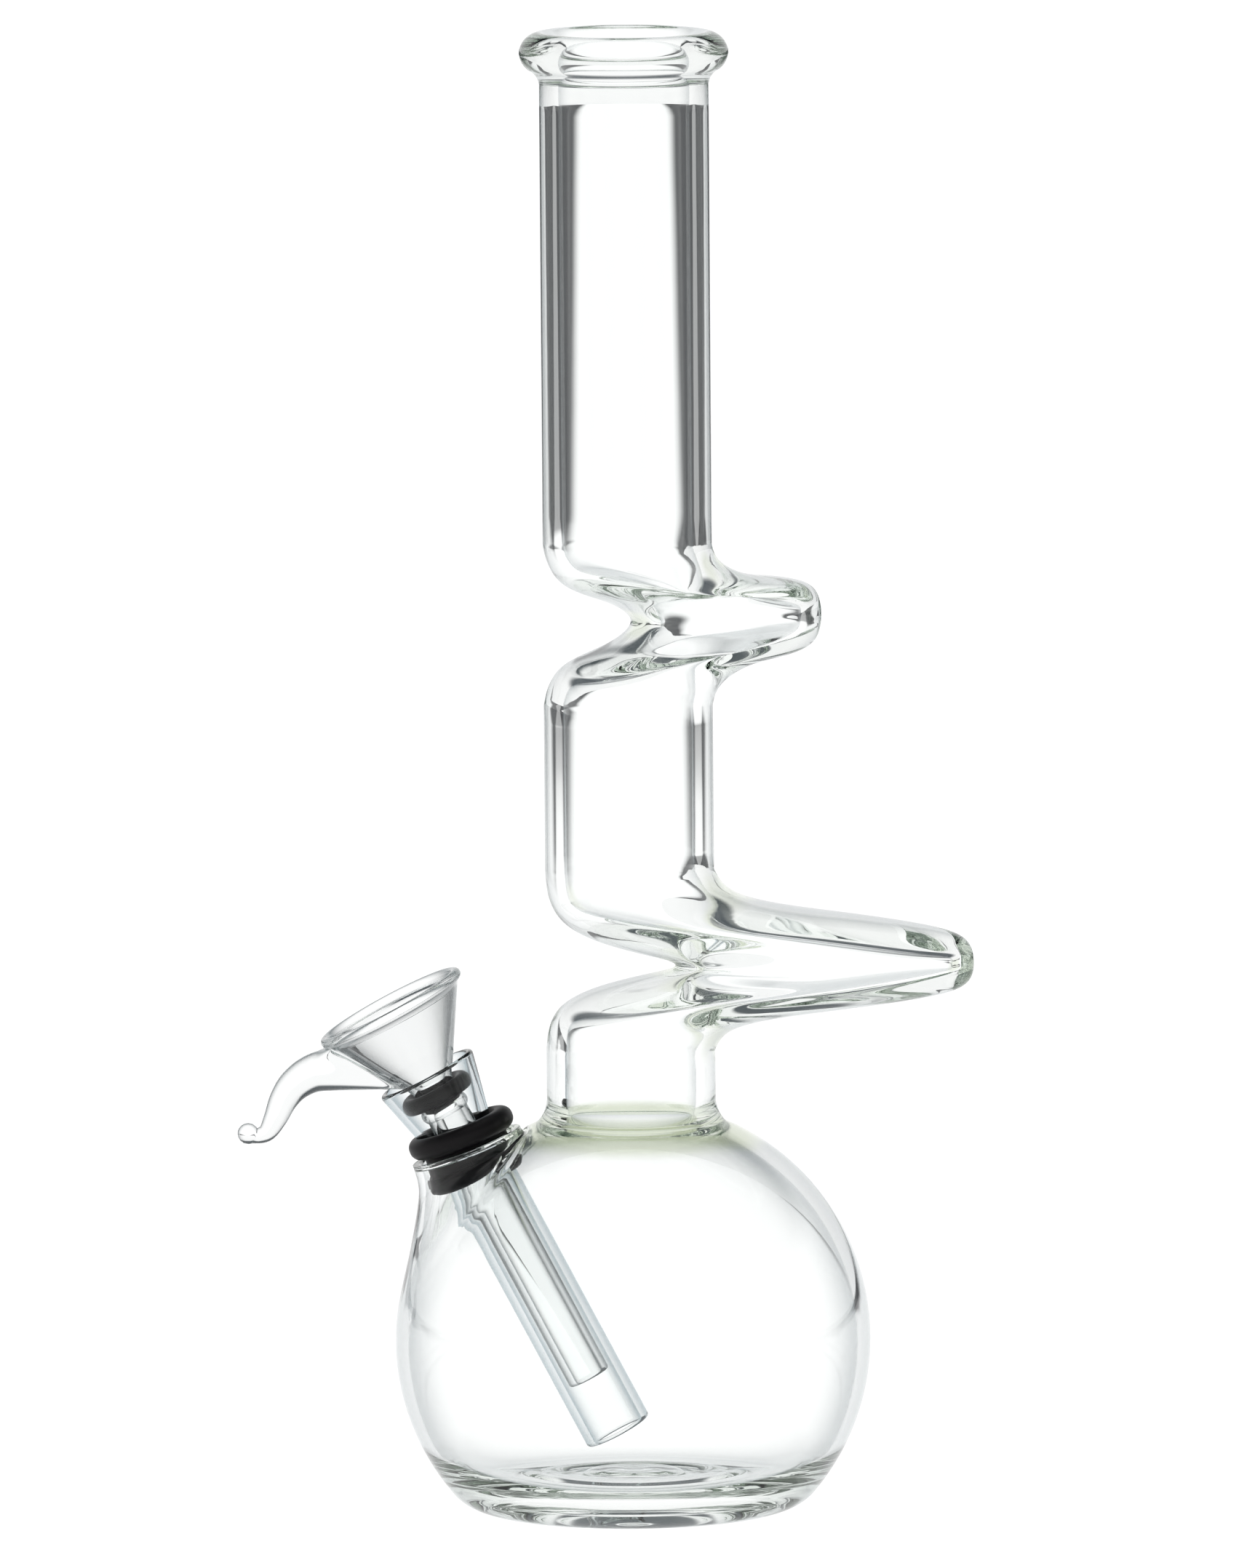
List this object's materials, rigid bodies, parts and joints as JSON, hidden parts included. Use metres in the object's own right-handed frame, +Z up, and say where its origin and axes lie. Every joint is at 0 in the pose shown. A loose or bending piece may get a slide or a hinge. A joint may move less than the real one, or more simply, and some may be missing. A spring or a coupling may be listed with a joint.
{
  "type": "glass water pipe",
  "caption": "Clear glass water pipe: kinked upright tube on a round globe base, rubber-held downstem and lift-out slide bowl with a curved handle.",
  "frame": {"origin": "middle of the foot ring, at the height of the surface the pipe stands on, on the axis of the straight tube", "axes": "+Z up along the straight tube, +X towards the tip of the lower kink, so the stem and bowl lean towards -X"},
  "size_m": [0.1518, 0.098, 0.305],
  "materials": {
    "vessel_glass": "fire-polished clear borosilicate, faint green where it is thick",
    "stem_glass": "drawn clear tube, fire-polished ends",
    "slide_glass": "lamp-worked clear glass",
    "grommet_rubber": "satin black moulded rubber",
    "ring_rubber": "satin black moulded rubber"
  },
  "bodies": {
    "vessel": {"mouth_tube": "vessel_glass", "upper_kink": "vessel_glass", "middle_tube": "vessel_glass", "lower_kink": "vessel_glass", "neck": "vessel_glass", "globe": "vessel_glass", "stem_collar": "vessel_glass", "grommet": "grommet_rubber"},
    "downstem": {"downstem": "stem_glass"},
    "o_ring": {"o_ring": "ring_rubber"},
    "slide": {"slide_tube": "slide_glass", "bowl_cone": "slide_glass", "horn_handle": "slide_glass"}
  },
  "joints": [
    {"name": "downstem_pull", "type": "slide", "parent": "vessel", "child": "downstem", "axis": [-0.4648, 0, 0.8854], "range_m": [0, 0.085]},
    {"name": "slide_pull", "type": "slide", "parent": "downstem", "child": "o_ring", "axis": [-0.4648, 0, 0.8854], "range_m": [0, 0.085]},
    {"name": "bowl_turn", "type": "hinge", "parent": "o_ring", "child": "slide", "pos_m": [-0.03964, 0, 0.08549], "axis": [-0.4648, 0, 0.8854], "range_deg": [-120, 120]}
  ]
}
